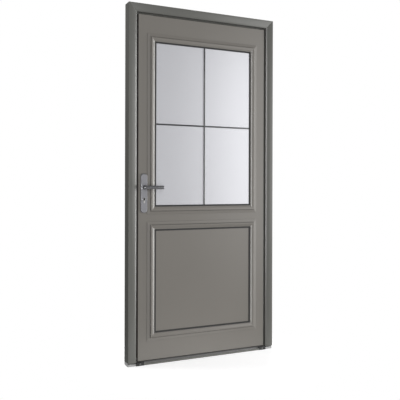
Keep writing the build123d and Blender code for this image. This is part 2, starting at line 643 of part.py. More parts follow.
# Hinges: the frame half carries the pin and two knuckles, the leaf half turns between them.
FRAME_PLATE_LEFT = FRAME_WIDTH / 2 - FRAME_PLATE_WIDTH - KNUCKLE_GAP
FRAME_PLATE_BACK = FRAME_BACK + HINGE_PLATE
LEAF_PLATE_RIGHT = HINGE_X - KNUCKLE_RADIUS - 2 * KNUCKLE_GAP
LEAF_PLATE_BACK = LEAF_BACK + HINGE_PLATE
FRAME_KNUCKLE = (HINGE_HEIGHT - LEAF_KNUCKLE) / 2 - KNUCKLE_GAP
HINGE_PLACES = (
    ("lower", LEAF_BOTTOM + HINGE_END_DISTANCE),
    ("middle", (LEAF_BOTTOM + LEAF_TOP) / 2),
    ("upper", LEAF_TOP - HINGE_END_DISTANCE),
)
for place, hinge_z in HINGE_PLACES:
    bottom = Plane.XY.offset(hinge_z - HINGE_HEIGHT / 2)
    with BuildPart() as frame_half:
        with BuildSketch(bottom):
            with Locations((FRAME_PLATE_LEFT, FRAME_BACK)):
                Rectangle(FRAME_PLATE_WIDTH, HINGE_PLATE, align=(Align.MIN, Align.MIN))
        extrude(amount=HINGE_HEIGHT)
        for start in (0, HINGE_HEIGHT - FRAME_KNUCKLE):
            with BuildSketch(bottom.offset(start)):
                with Locations((HINGE_X, HINGE_Y)):
                    Circle(KNUCKLE_RADIUS)
                with BuildLine():
                    Polyline(
                        (HINGE_X + KNUCKLE_RADIUS * 0.8, FRAME_PLATE_BACK),
                        (HINGE_X + KNUCKLE_RADIUS * 2.4, FRAME_PLATE_BACK),
                        (HINGE_X + KNUCKLE_RADIUS, HINGE_Y),
                        (HINGE_X, HINGE_Y),
                        close=True,
                    )
                make_face()
            extrude(amount=FRAME_KNUCKLE)
        with BuildSketch(bottom):
            with Locations((HINGE_X, HINGE_Y)):
                Circle(PIN_RADIUS)
        extrude(amount=HINGE_HEIGHT)
    save(frame_half, f"{place}_hinge_frame_half")

    with BuildPart() as leaf_half:
        with BuildSketch(bottom):
            with Locations((LEAF_PLATE_RIGHT, LEAF_BACK)):
                Rectangle(LEAF_PLATE_WIDTH, HINGE_PLATE, align=(Align.MAX, Align.MIN))
        extrude(amount=HINGE_HEIGHT)
        with BuildSketch(bottom.offset(FRAME_KNUCKLE + KNUCKLE_GAP)):
            with Locations((HINGE_X, HINGE_Y)):
                Circle(KNUCKLE_RADIUS)
            with BuildLine():
                Polyline(
                    (HINGE_X - KNUCKLE_RADIUS * 2.4, LEAF_PLATE_BACK),
                    (HINGE_X - KNUCKLE_RADIUS * 2.0, LEAF_BACK),
                    (HINGE_X, LEAF_BACK + KNUCKLE_GAP),
                    (HINGE_X, HINGE_Y),
                    (HINGE_X - KNUCKLE_RADIUS, HINGE_Y),
                    close=True,
                )
            make_face()
            with Locations((HINGE_X, HINGE_Y)):
                Circle(PIN_RADIUS + PIN_CLEARANCE, mode=Mode.SUBTRACT)
        extrude(amount=LEAF_KNUCKLE)
    save(leaf_half, f"{place}_hinge_leaf_half")
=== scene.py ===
import json
import math

import bmesh
import bpy
from mathutils import Matrix, Vector

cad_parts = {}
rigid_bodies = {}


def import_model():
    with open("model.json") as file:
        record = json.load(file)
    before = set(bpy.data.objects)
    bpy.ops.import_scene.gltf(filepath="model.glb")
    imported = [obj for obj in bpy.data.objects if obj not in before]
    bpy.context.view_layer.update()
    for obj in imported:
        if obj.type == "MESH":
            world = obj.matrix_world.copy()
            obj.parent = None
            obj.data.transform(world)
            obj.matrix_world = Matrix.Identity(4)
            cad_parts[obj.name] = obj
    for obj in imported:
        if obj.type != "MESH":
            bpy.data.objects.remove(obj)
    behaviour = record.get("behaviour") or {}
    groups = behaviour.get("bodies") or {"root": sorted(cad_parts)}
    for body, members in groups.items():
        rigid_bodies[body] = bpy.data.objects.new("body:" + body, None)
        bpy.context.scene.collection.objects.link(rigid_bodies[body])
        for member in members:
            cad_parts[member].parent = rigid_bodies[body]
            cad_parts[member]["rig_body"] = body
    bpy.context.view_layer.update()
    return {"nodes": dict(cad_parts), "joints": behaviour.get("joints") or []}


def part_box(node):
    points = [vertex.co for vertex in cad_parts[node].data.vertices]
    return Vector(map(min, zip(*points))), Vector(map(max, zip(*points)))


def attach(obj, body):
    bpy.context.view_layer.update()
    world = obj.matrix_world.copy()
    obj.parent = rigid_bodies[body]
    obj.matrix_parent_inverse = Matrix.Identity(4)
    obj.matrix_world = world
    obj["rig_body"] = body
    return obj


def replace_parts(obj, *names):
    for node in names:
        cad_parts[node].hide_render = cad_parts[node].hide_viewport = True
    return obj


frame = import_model()
nodes = frame["nodes"]


# Frame: two jambs and a head cut from one aluminium section, mitred and crimped at the top corners
# and powder coated a warm mid grey, the same coat as the leaf but painted darker as shade on the
# frame. Each edge is eased, so that a mitre shows as a fine line, and the sides against the wall have
# only a thin matt coat.
class Shade:
    """One output of a material's nodes. Arithmetic on it adds Math nodes."""

    def __init__(self, tree, socket=None):
        self.tree = tree
        self.socket = socket

    def node(self, kind, settings=None, inputs=None, output=0):
        """Adds any node: its settings first, then the values or links of its sockets."""
        added = self.tree.nodes.new(kind)
        for name, value in (settings or {}).items():
            setattr(added, name, value)
        for name, value in (inputs or {}).items():
            if isinstance(value, Shade):
                self.tree.links.new(value.socket, added.inputs[name])
            else:
                added.inputs[name].default_value = value
        return Shade(self.tree, added.outputs[output])

    def math(self, operation, *values):
        return self.node("ShaderNodeMath", {"operation": operation}, dict(enumerate(values)))

    def __add__(self, other):
        return self.math("ADD", self, other)

    def __sub__(self, other):
        return self.math("SUBTRACT", self, other)

    def __rsub__(self, other):
        return self.math("SUBTRACT", other, self)

    def __mul__(self, other):
        return self.math("MULTIPLY", self, other)

    def __pow__(self, other):
        return self.math("POWER", self, other)

    def __rpow__(self, other):
        return self.math("POWER", other, self)

    __radd__ = __add__
    __rmul__ = __mul__

    def noise(self, scale, detail=2.0):
        """Noise on the piece's own coordinates. Three scales stretch it along an axis."""
        place = self.node("ShaderNodeTexCoord", output="Object")
        scales = scale if isinstance(scale, tuple) else (scale,) * 3
        place = self.node("ShaderNodeMapping", inputs={"Vector": place, "Scale": scales})
        return self.node("ShaderNodeTexNoise", inputs={"Vector": place, "Scale": 1.0, "Detail": detail})

    def colour(self, low, high):
        """The colour between two others that this value picks."""
        return self.node("ShaderNodeMix", {"data_type": "RGBA"}, {0: self, 6: low, 7: high}, 2)

    def bump(self, strength, distance):
        inputs = {"Strength": strength, "Distance": distance, "Height": self}
        return self.node("ShaderNodeBump", inputs=inputs)


def new_material(name):
    material = bpy.data.materials.new(name)
    material.use_nodes = True
    return material, Shade(material.node_tree)


def set_shader(material, values):
    """Gives the material's Principled shader its constants and its links."""
    shader = material.node_tree.nodes["Principled BSDF"]
    for name, value in values.items():
        if isinstance(value, Shade):
            material.node_tree.links.new(value.socket, shader.inputs[name])
        else:
            shader.inputs[name].default_value = value
    return material


def powder_coat(name, low, high, roughness=0.25, specular=0.72):
    """Powder coat, satin as a rule: faint clouds of tone, a fine grain and a shallow orange peel."""
    material, shade = new_material(name)
    clouds = shade.noise(scale=2.5)
    grain = shade.noise(scale=1600.0)
    peel = shade.noise(scale=330.0)
    return set_shader(
        material,
        {
            "Base Color": (clouds * 0.7 + grain * 0.3).colour(low, high),
            "Roughness": roughness + 0.08 * grain,
            "Specular IOR Level": specular,
            "Normal": (grain * 0.5 + peel).bump(strength=0.2, distance=0.00008),
        },
    )


MERGE_REACH = 0.00002
FLAT_ANGLE = math.radians(0.5)
CURVE_ANGLE = 0.01
SHARP_ANGLE = 0.5


def eased(node, radius, joint=None):
    """A copy of a node's mesh, merged, with its sharp edges rounded apart from those in a joint."""
    mesh = bmesh.new()
    mesh.from_mesh(nodes[node].data)
    bmesh.ops.remove_doubles(mesh, verts=mesh.verts, dist=MERGE_REACH)
    bmesh.ops.dissolve_limit(mesh, angle_limit=FLAT_ANGLE, verts=mesh.verts, edges=mesh.edges)
    for face in mesh.faces:
        turns = [edge.calc_face_angle(0) for edge in face.edges]
        face.smooth = any(CURVE_ANGLE < turn < SHARP_ANGLE for turn in turns)
    sharp = [
        e for e in mesh.edges if e.calc_face_angle(0) > SHARP_ANGLE and not (joint and joint(e))
    ]
    rounded = bmesh.ops.bevel(
        mesh, geom=sharp, offset=radius, affect="EDGES", segments=3, profile=0.5, material=-1,
        clamp_overlap=True,
    )
    for face in rounded["faces"]:
        face.smooth = True
    return mesh


def piece(name, mesh, material, body):
    """Finishes a bmesh as a piece of the door that moves with a body."""
    data = bpy.data.meshes.new(name)
    mesh.to_mesh(data)
    mesh.free()
    data.materials.append(material)
    made = bpy.data.objects.new(name, data)
    bpy.context.scene.collection.objects.link(made)
    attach(made, body)
    return made


def dressed(node, mesh, material):
    """The finished form of a node, which it stands for."""
    made = piece(f"{node}_dressed", mesh, material, nodes[node]["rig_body"])
    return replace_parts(made, node)


# The frame's grey is the leaf's coat painted darker: painted shade on the frame's faces.
FRAME_GREY_SHADED = ((0.095, 0.095, 0.086, 1), (0.107, 0.107, 0.097, 1))
frame_paint_shaded = powder_coat("frame_paint_shaded", *FRAME_GREY_SHADED)
wall_primer = powder_coat("wall_primer", *FRAME_GREY_SHADED, roughness=0.7, specular=0.1)
FRAME_EASING = 0.0006
FACES_WALL = 0.99
UP = Vector((0, 0, 1))
RIGHT = Vector((1, 0, 0))
for member, wall_side in (("latch_jamb", -RIGHT), ("hinge_jamb", RIGHT), ("frame_head", UP)):
    section = eased(member, FRAME_EASING)
    for side in section.faces:
        side.material_index = int(side.normal.dot(wall_side) > FACES_WALL)
    dressed(member, section, frame_paint_shaded).data.materials.append(wall_primer)


# Frame seals: black rubber bulbs pushed on the tongue inside the frame's rebate, cut at 45 degrees in
# the top corners. The closed leaf stands just clear of their tips.
def rubber(name, low, high):
    """Matt black rubber with a fine bloom."""
    material, shade = new_material(name)
    bloom = shade.noise(scale=60.0)
    grain = shade.noise(scale=2200.0)
    return set_shader(
        material,
        {
            "Base Color": bloom.colour(low, high),
            "Roughness": 0.62 + 0.2 * bloom,
            "Normal": grain.bump(strength=0.3, distance=0.0001),
        },
    )


def outline(points, rounds=()):
    """One flat face in the XY plane through these corners, of which some are rounded.

    Each round gives a corner's number, the length that it takes off and its segments."""
    mesh = bmesh.new()
    corners = [mesh.verts.new((x, y, 0)) for x, y in points]
    mesh.faces.new(corners)
    for number, length, segments in rounds:
        bmesh.ops.bevel(
            mesh, geom=[corners[number]], offset=length, affect="VERTICES", segments=segments,
            profile=0.5, material=-1,
        )
    return mesh


def close_smooth(mesh, angle=0.6):
    """Turns the faces outwards, smooth but for the edges that turn by more than an angle."""
    bmesh.ops.recalc_face_normals(mesh, faces=mesh.faces)
    for face in mesh.faces:
        face.smooth = True
    for edge in mesh.edges:
        edge.smooth = edge.calc_face_angle(0) < angle
    return mesh


def vertices(geom):
    """The vertices among what an operator made."""
    return [item for item in geom if isinstance(item, bmesh.types.BMVert)]


def mitred(section, start, end, inward, outward):
    """A length of a section between two corners of its frame, cut at 45 degrees at both ends."""
    along = (end - start).normalized()
    mitre = Matrix((inward + along, outward, along)).transposed().to_4x4()
    mitre.translation = start
    bmesh.ops.transform(section, matrix=mitre, verts=section.verts)
    far = vertices(bmesh.ops.extrude_face_region(section, geom=section.faces[:])["geom"])
    middle = (start + end) / 2
    other_end = Matrix.Translation(middle) @ Matrix.Scale(-1, 4, along) @ Matrix.Translation(-middle)
    bmesh.ops.transform(section, matrix=other_end, verts=far)
    return close_smooth(section)


seal_rubber = rubber("seal_rubber", (0.008, 0.008, 0.008, 1), (0.016, 0.016, 0.015, 1))
FRAME_LOW, FRAME_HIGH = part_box("frame_head")
SILL_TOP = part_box("threshold")[1].z
SEAL_FOOT = 0.056
SEAL_REACH = 0.0045
SEAL_HALF = 0.003
SEAL_ROUND = 0.0029
seal_low, seal_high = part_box("latch_jamb_seal")
seal_middle = (seal_low.y + seal_high.y) / 2
SEAL_SECTION = [
    (SEAL_FOOT, -SEAL_HALF),
    (SEAL_FOOT + SEAL_REACH, -SEAL_HALF),
    (SEAL_FOOT + SEAL_REACH, SEAL_HALF),
    (SEAL_FOOT, SEAL_HALF),
]
SEAL_ROUNDS = ((1, SEAL_ROUND, 6), (2, SEAL_ROUND, 6))
WALL_LEFT = Vector((FRAME_LOW.x, seal_middle, FRAME_HIGH.z))
WALL_RIGHT = Vector((FRAME_HIGH.x, seal_middle, FRAME_HIGH.z))
INTO = Vector((0, 1, 0))
head_bulb = mitred(outline(SEAL_SECTION, SEAL_ROUNDS), WALL_LEFT, WALL_RIGHT, -UP, INTO)
dressed("head_seal", head_bulb, seal_rubber)
for member, corner, inward in (
    ("latch_jamb_seal", WALL_LEFT, RIGHT),
    ("hinge_jamb_seal", WALL_RIGHT, -RIGHT),
):
    bulb = mitred(outline(SEAL_SECTION, SEAL_ROUNDS), corner, corner - UP * FRAME_HIGH.z, inward, INTO)
    cut = bulb.verts[:] + bulb.edges[:] + bulb.faces[:]
    bmesh.ops.bisect_plane(
        bulb, geom=cut, plane_co=(0, 0, SILL_TOP), plane_no=(0, 0, -1), clear_outer=True
    )
    bmesh.ops.holes_fill(bulb, edges=bulb.edges)
    dressed(member, close_smooth(bulb), seal_rubber)


# Threshold: a low sill of natural anodised aluminium that runs under both jambs, extruded with a fall
# to the outside. Its die lines run along the length.
def anodised(name, low, high):
    """Anodised extrusion with fine die lines along X."""
    material, shade = new_material(name)
    lines = shade.noise(scale=(3.0, 1500.0, 1500.0))
    clouds = shade.noise(scale=9.0)
    return set_shader(
        material,
        {
            "Base Color": (lines * 0.6 + clouds * 0.4).colour(low, high),
            "Roughness": 0.36 + 0.12 * lines,
            "Metallic": 0.6,
            "Normal": lines.bump(strength=0.2, distance=0.0001),
        },
    )


sill_aluminium = anodised("sill_aluminium", (0.36, 0.36, 0.355, 1), (0.45, 0.45, 0.445, 1))
SILL_EASING = 0.0006
dressed("threshold", eased("threshold", SILL_EASING), sill_aluminium)


# Nosing: a painted strip clipped on the front of the sill, between the two end blocks.
# It has the same powder coat as the frame, with the frame's painted shade.
NOSING_EASING = 0.0006
dressed("threshold_nosing", eased("threshold_nosing", NOSING_EASING), frame_paint_shaded)


# End blocks: moulded black plastic corners that close the sill against the jambs. Each is held by one
# countersunk steel screw with a hexagon socket, in the middle of its face.
def moulded_plastic(name, low, high):
    """Injection moulded plastic with a spark-eroded grain."""
    material, shade = new_material(name)
    grain = shade.noise(scale=1100.0, detail=3.0)
    clouds = shade.noise(scale=40.0)
    return set_shader(
        material,
        {
            "Base Color": clouds.colour(low, high),
            "Roughness": 0.45 + 0.15 * grain,
            "Normal": grain.bump(strength=0.35, distance=0.00015),
        },
    )


def nickel(name, low, high):
    """Nickel plated steel with fine turning marks."""
    material, shade = new_material(name)
    marks = shade.noise(scale=(900.0, 900.0, 120.0))
    return set_shader(
        material,
        {
            "Base Color": marks.colour(low, high),
            "Roughness": 0.24 + 0.12 * marks,
            "Metallic": 1.0,
            "Normal": marks.bump(strength=0.12, distance=0.00006),
        },
    )


HEAD_TOP = 0.86
HEAD_RISE = 0.14
HEAD_SINK = 0.25
SOCKET_RADIUS = 0.46
SOCKET_DEPTH = 0.5


def screw_head():
    """A countersunk head of radius 1 about Z, with a chamfered rim and a hexagon socket."""
    mesh = bmesh.new()
    rim = bmesh.ops.create_circle(mesh, segments=28, radius=1.0)["verts"]
    side = bmesh.ops.extrude_edge_only(mesh, edges=mesh.edges[:])["geom"]
    top = vertices(side)
    bmesh.ops.scale(mesh, vec=(HEAD_TOP, HEAD_TOP, 1), verts=top)
    bmesh.ops.translate(mesh, vec=(0, 0, HEAD_RISE), verts=top)
    bmesh.ops.translate(mesh, vec=(0, 0, -HEAD_SINK), verts=rim)
    top_edges = [e for e in mesh.edges if set(e.verts) <= set(top)]
    before = set(mesh.edges)
    socket = bmesh.ops.create_circle(mesh, segments=6, radius=SOCKET_RADIUS)["verts"]
    bmesh.ops.translate(mesh, vec=(0, 0, HEAD_RISE), verts=socket)
    socket_edges = [e for e in mesh.edges if e not in before]
    bmesh.ops.bridge_loops(mesh, edges=top_edges + socket_edges)
    well = vertices(bmesh.ops.extrude_edge_only(mesh, edges=socket_edges)["geom"])
    bmesh.ops.translate(mesh, vec=(0, 0, -SOCKET_DEPTH), verts=well)
    bmesh.ops.contextual_create(mesh, geom=well)
    bmesh.ops.recalc_face_normals(mesh, faces=mesh.faces)
    data = bpy.data.meshes.new("screw_head")
    mesh.to_mesh(data)
    mesh.free()
    return data


SCREW_HEAD = screw_head()


def seated(place, outward):
    """The move that takes a shape made about Z to a place, facing outward."""
    return Matrix.Translation(place) @ outward.to_track_quat("Z", "Y").to_matrix().to_4x4()


def screws(name, places, outward, radius, body):
    """Screw heads at these places, as one piece on a body."""
    mesh = bmesh.new()
    for place in places:
        before = set(mesh.verts)
        mesh.from_mesh(SCREW_HEAD)
        seat = seated(place, outward) @ Matrix.Scale(radius, 4)
        bmesh.ops.transform(mesh, matrix=seat, verts=[v for v in mesh.verts if v not in before])
    return piece(name, mesh, screw_steel, body)


block_plastic = moulded_plastic("block_plastic", (0.010, 0.010, 0.010, 1), (0.018, 0.018, 0.018, 1))
screw_steel = nickel("screw_steel", (0.33, 0.325, 0.315, 1), (0.44, 0.435, 0.42, 1))
BLOCK_EASING = 0.0010
dressed("threshold_end_blocks", eased("threshold_end_blocks", BLOCK_EASING), block_plastic)
block_low, block_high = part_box("threshold_end_blocks")
nosing_low, nosing_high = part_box("threshold_nosing")
BLOCK_SCREW = 0.0055
block_screws = [
    Vector(((outer + inner) / 2, block_low.y, SILL_TOP / 2))
    for outer, inner in ((block_low.x, nosing_low.x), (block_high.x, nosing_high.x))
]
screws("end_block_screws", block_screws, -INTO, BLOCK_SCREW, "frame")


# Strike plate: nickel plated steel in the groove of the latch jamb, with a window for the latch and one
# for the bolt. Three countersunk screws hold it.
lock_steel = nickel("lock_steel", (0.64, 0.63, 0.61, 1), (0.78, 0.77, 0.75, 1))
STRIKE_EASING = 0.0004
dressed("strike_plate", eased("strike_plate", STRIKE_EASING), lock_steel)
strike_low, strike_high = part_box("strike_plate")
STRIKE_SCREW = 0.0036
STRIKE_SCREW_INSET = 0.014
strike_screws = [
    Vector((strike_high.x, (strike_low.y + strike_high.y) / 2, z))
    for z in (
        strike_low.z + STRIKE_SCREW_INSET,
        (strike_low.z + strike_high.z) / 2,
        strike_high.z - STRIKE_SCREW_INSET,
    )
]
screws("strike_screws", strike_screws, RIGHT, STRIKE_SCREW, "frame")


# Hinges: three powder coated steel hinges on the inside. The frame half carries the pin and two
# knuckles, and the leaf half turns between them. Domed caps close the pin's ends, and screws go through
# both plates.
def joint_place(name):
    """A point on a joint's axis."""
    return next(joint for joint in frame["joints"] if joint["name"] == name)["pos_m"]


hinge_paint = powder_coat("hinge_paint", (0.128, 0.121, 0.109, 1), (0.145, 0.137, 0.123, 1))
HINGE_EASING = 0.0005
HINGE_SCREW = 0.0042
CAP_RADIUS = 0.0082
CAP_RISE = 0.0035
HINGE_PLATE = 0.005
ROW_SCREW_RISE = 0.036
FRAME_SCREW_INSET = 0.009
LEAF_SCREW_INSET = 0.011
FAR_SCREW_INSET = 0.031
FAR_SCREW_RISE = 0.030
axis_x, axis_y, _ = joint_place("leaf_swing")
for place in ("lower", "middle", "upper"):
    frame_half = f"{place}_hinge_frame_half"
    leaf_half = f"{place}_hinge_leaf_half"
    dressed(frame_half, eased(frame_half, HINGE_EASING), hinge_paint)
    dressed(leaf_half, eased(leaf_half, HINGE_EASING), hinge_paint)
    low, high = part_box(frame_half)
    caps = bmesh.new()
    for end, up in ((low.z, -1), (high.z, 1)):
        before = set(caps.verts)
        bmesh.ops.create_uvsphere(caps, u_segments=32, v_segments=16, radius=CAP_RADIUS)
        dome = [v for v in caps.verts if v not in before]
        flattened = Matrix.Scale(up * CAP_RISE / CAP_RADIUS, 4, UP)
        seat = Matrix.Translation((axis_x, axis_y, end)) @ flattened
        bmesh.ops.transform(caps, matrix=seat, verts=dome)
    piece(f"{place}_hinge_caps", close_smooth(caps), hinge_paint, "frame")
    middle = (low.z + high.z) / 2
    screw_x = high.x - FRAME_SCREW_INSET
    frame_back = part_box("latch_jamb")[1].y + HINGE_PLATE
    rises = (-ROW_SCREW_RISE, 0, ROW_SCREW_RISE)
    frame_screws = [Vector((screw_x, frame_back, middle + rise)) for rise in rises]
    screws(f"{place}_hinge_frame_screws", frame_screws, INTO, HINGE_SCREW, "frame")
    low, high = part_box(leaf_half)
    leaf_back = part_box("latch_stile")[1].y + HINGE_PLATE
    leaf_places = [(LEAF_SCREW_INSET, rise) for rise in rises]
    leaf_places += [(FAR_SCREW_INSET, rise) for rise in (-FAR_SCREW_RISE, FAR_SCREW_RISE)]
    leaf_screws = [Vector((low.x + inset, leaf_back, middle + rise)) for inset, rise in leaf_places]
    screws(f"{place}_hinge_leaf_screws", leaf_screws, INTO, HINGE_SCREW, "leaf")


# Leaf framing: two stiles and three rails of coated aluminium, in the frame's coat without the frame's
# painted shade, with a lip that laps over the frame inside. The joints are flush and filled, so only
# the outer edges are eased.
rail_low, rail_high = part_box("top_rail")
JOINT_REACH = 0.0001


def at_joint(edge):
    """True for an edge that lies where a rail meets a stile."""
    reaches = [min(abs(v.co.x - rail_low.x), abs(v.co.x - rail_high.x)) for v in edge.verts]
    return max(reaches) < JOINT_REACH


DOOR_GREY = ((0.139, 0.130, 0.116, 1), (0.157, 0.147, 0.131, 1))
door_paint = powder_coat("door_paint", *DOOR_GREY)
LEAF_EASING = 0.0005
for member in ("latch_stile", "hinge_stile", "top_rail", "mid_rail", "bottom_rail"):
    dressed(member, eased(member, LEAF_EASING, at_joint), door_paint)


# Lower panel: an insulated panel with flat coated aluminium skins on a foam core. The mouldings of both
# faces clamp it, and its CAD solid needs only the paint.
nodes["lower_panel"].material_slots[0].material = door_paint


# Glazing: a sealed unit of three panes. The outer and the middle pane are satin etched float glass, so
# milky that nothing shows behind them, and the inner pane is clear.
MIRROR_HEAD_ON = 0.04
MIRROR_POWER = 5.0


def clear_glass(name, tint):
    """A clear pane: what is behind it, under a reflection that grows towards grazing views."""
    material, shade = new_material(name)
    facing = shade.node("ShaderNodeLayerWeight", inputs={"Blend": 0.5}, output="Facing")
    mirror = MIRROR_HEAD_ON + (1 - MIRROR_HEAD_ON) * facing ** MIRROR_POWER
    ripple = shade.noise(scale=6.0)
    shader = material.node_tree.nodes["Principled BSDF"]
    set_shader(
        material,
        {
            "Base Color": (0.9, 0.9, 0.9, 1),
            "Metallic": 1.0,
            "Roughness": 0.02,
            "Normal": ripple.bump(strength=0.02, distance=0.0005),
        },
    )
    through = shade.node("ShaderNodeBsdfTransparent", inputs={"Color": tint})
    reflection = Shade(shade.tree, shader.outputs[0])
    mixed = shade.node("ShaderNodeMixShader", inputs={0: mirror, 1: through, 2: reflection})
    output = material.node_tree.nodes["Material Output"]
    material.node_tree.links.new(mixed.socket, output.inputs["Surface"])
    return material


def frosted_glass(name, low, high):
    """Satin etched glass, milky through and through, with the sheen of a sealed unit's many faces."""
    material, shade = new_material(name)
    clouds = shade.noise(scale=4.0)
    etching = shade.noise(scale=1800.0, detail=3.0)
    return set_shader(
        material,
        {
            "Base Color": (clouds * 0.5 + etching * 0.5).colour(low, high),
            "Roughness": 0.24 + 0.06 * etching,
            "Metallic": 0.56,
            "IOR": 1.5,
            "Normal": etching.bump(strength=0.15, distance=0.00006),
        },
    )


pane_glass = clear_glass("pane_glass", (0.975, 0.985, 0.98, 1))
frosted = frosted_glass("frosted", (0.625, 0.627, 0.655, 1), (0.665, 0.667, 0.695, 1))
for pane in ("outer_pane", "frosted_pane"):
    nodes[pane].material_slots[0].material = frosted
nodes["inner_pane"].material_slots[0].material = pane_glass


# Spacers: folded aluminium frames that hold the panes apart. They are bonded to the glass and hidden
# behind the gaskets' sight line.
spacer_metal = anodised("spacer_metal", (0.34, 0.34, 0.34, 1), (0.46, 0.46, 0.46, 1))
nodes["glazing_spacers"].material_slots[0].material = spacer_metal


# Glazing bars: a thin cross of painted aluminium bonded on the face of the outer pane. It runs from
# gasket to gasket, with softly rounded edges.
BAR_GREY = ((0.034, 0.035, 0.036, 1), (0.044, 0.045, 0.046, 1))
bar_paint = powder_coat("bar_paint", *BAR_GREY, roughness=0.18, specular=1.0)
BAR_EASING = 0.0027
dressed("glazing_bars", eased("glazing_bars", BAR_EASING), bar_paint)


# Gaskets: black rubber frames that bed the glass and the panel on both faces. The mouldings press them
# down, and a thin rounded line of rubber is all that shows.
GASKET_EASING = 0.0012
for member in ("glass_gaskets", "panel_gaskets"):
    dressed(member, eased(member, GASKET_EASING), seal_rubber)


# Mouldings: mitred lengths of a coated aluminium section that clamp glass and panel from both faces.
# From the outer edge inwards it has a rising band, a quirk, a crest and an ovolo that falls to a narrow
# flat.
REBATE_HEIGHT = 0.005
SEAT_WIDTH = 0.035
MOULDING_WIDTH = 0.045
EDGE_HEIGHT = 0.003
EDGE_ROUND = 0.0004
BAND_WIDTH = 0.017
BAND_HEIGHT = 0.005
BAND_ROUND = 0.0008
QUIRK_HEIGHT = 0.001
CREST_START = 0.020
CREST_HEIGHT = 0.012
CREST_ROUND = 0.0020
OVOLO_CORNER = 0.0339
OVOLO_FOOT = (0.043, 0.006)
OVOLO_ROUND = 0.0109
OVOLO_SECTION = [
    (0, 0),
    (0, EDGE_HEIGHT),
    (BAND_WIDTH, BAND_HEIGHT),
    (BAND_WIDTH, QUIRK_HEIGHT),
    (CREST_START, QUIRK_HEIGHT),
    (CREST_START, CREST_HEIGHT),
    (OVOLO_CORNER, CREST_HEIGHT),
    OVOLO_FOOT,
    (MOULDING_WIDTH, OVOLO_FOOT[1]),
    (MOULDING_WIDTH, REBATE_HEIGHT),
    (SEAT_WIDTH, REBATE_HEIGHT),
    (SEAT_WIDTH, 0),
]
OVOLO_ROUNDS = (
    (1, EDGE_ROUND, 3),
    (2, BAND_ROUND, 3),
    (5, CREST_ROUND, 6),
    (6, OVOLO_ROUND, 16),
    (8, EDGE_ROUND, 2),
)
for face, outward in (("outer", -INTO), ("inner", INTO)):
    for field in ("glass", "panel"):
        low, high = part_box(f"{face}_{field}_moulding_uprights")
        seat_y = high.y if face == "outer" else low.y
        left_low = Vector((low.x, seat_y, low.z))
        left_high = Vector((low.x, seat_y, high.z))
        right_low = Vector((high.x, seat_y, low.z))
        right_high = Vector((high.x, seat_y, high.z))
        for kind, lengths in (
            ("uprights", ((left_low, left_high, RIGHT), (right_low, right_high, -RIGHT))),
            ("crosspieces", ((left_low, right_low, UP), (left_high, right_high, -UP))),
        ):
            pair = bmesh.new()
            for start, end, inward in lengths:
                length = mitred(outline(OVOLO_SECTION, OVOLO_ROUNDS), start, end, inward, outward)
                part = bpy.data.meshes.new("moulding_length")
                length.to_mesh(part)
                length.free()
                pair.from_mesh(part)
            moulding = dressed(f"{face}_{field}_moulding_{kind}", pair, door_paint)
            flats = moulding.modifiers.new("flats", "WEIGHTED_NORMAL")
            flats.keep_sharp = True
            flats.weight = 100


# Sweep: a black brush under the leaf, of nylon tufts set in a plastic strip that is screwed to the
# bottom rail.
sweep_low, sweep_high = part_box("bottom_sweep")
STRIP_HEIGHT = 0.0022
STRIP_EASING = 0.0005
TUFT_RADIUS = 0.0011
TUFT_TAPER = 0.6
TUFT_PITCH = 0.004
TUFT_ROWS = 3
strip = bmesh.new()
bmesh.ops.create_cube(strip, size=1.0)
strip_size = sweep_high - sweep_low
strip_size.z = STRIP_HEIGHT
strip_middle = (sweep_low + sweep_high) / 2
strip_middle.z = sweep_high.z - STRIP_HEIGHT / 2
bmesh.ops.scale(strip, vec=strip_size, verts=strip.verts)
bmesh.ops.translate(strip, vec=strip_middle, verts=strip.verts)
bmesh.ops.bevel(
    strip, geom=strip.edges[:], offset=STRIP_EASING, affect="EDGES", segments=2, profile=0.5, material=-1
)
dressed("bottom_sweep", strip, block_plastic)
tufts = bmesh.new()
tuft_length = sweep_high.z - STRIP_HEIGHT - sweep_low.z
first_tuft = Vector((
    sweep_low.x + TUFT_PITCH,
    sweep_low.y + TUFT_PITCH,
    sweep_low.z + tuft_length / 2,
))
bmesh.ops.create_cone(
    tufts, segments=5, radius1=TUFT_RADIUS, radius2=TUFT_RADIUS * TUFT_TAPER, depth=tuft_length,
    cap_ends=True, matrix=Matrix.Translation(first_tuft),
)
bristles, shade = new_material("bristles")
strands = shade.noise(scale=(2400.0, 2400.0, 60.0))
set_shader(
    bristles,
    {
        "Base Color": strands.colour((0.006, 0.006, 0.006, 1), (0.022, 0.022, 0.021, 1)),
        "Roughness": 0.42 + 0.2 * strands,
        "Normal": strands.bump(strength=0.5, distance=0.0002),
    },
)
brush = piece("sweep_tufts", tufts, bristles, "leaf")
tufts_along = int((sweep_high.x - sweep_low.x) / TUFT_PITCH) - 1
row_pitch = (sweep_high.y - sweep_low.y - 2 * TUFT_PITCH) / (TUFT_ROWS - 1)
for name, count, step in (
    ("along", tufts_along, (TUFT_PITCH, 0, 0)),
    ("across", TUFT_ROWS, (0, row_pitch, 0)),
):
    row = brush.modifiers.new(name, "ARRAY")
    row.count = count
    row.use_relative_offset = False
    row.use_constant_offset = True
    row.constant_offset_displace = step


# Backplates: long plates of satin brushed steel, one on each face of the latch stile. Two bolts through
# the leaf hold them, with their heads on the inside.
def brushed(name, scales, low, high, roughness, metallic):
    """Satin brushed metal, with the brush marks along the axis of least scale."""
    material, shade = new_material(name)
    marks = shade.noise(scales, detail=3.0)
    clouds = shade.noise(scale=25.0)
    return set_shader(
        material,
        {
            "Base Color": (marks * 0.7 + clouds * 0.3).colour(low, high),
            "Roughness": roughness + 0.14 * marks,
            "Metallic": metallic,
            "Normal": marks.bump(strength=0.15, distance=0.00008),
        },
    )


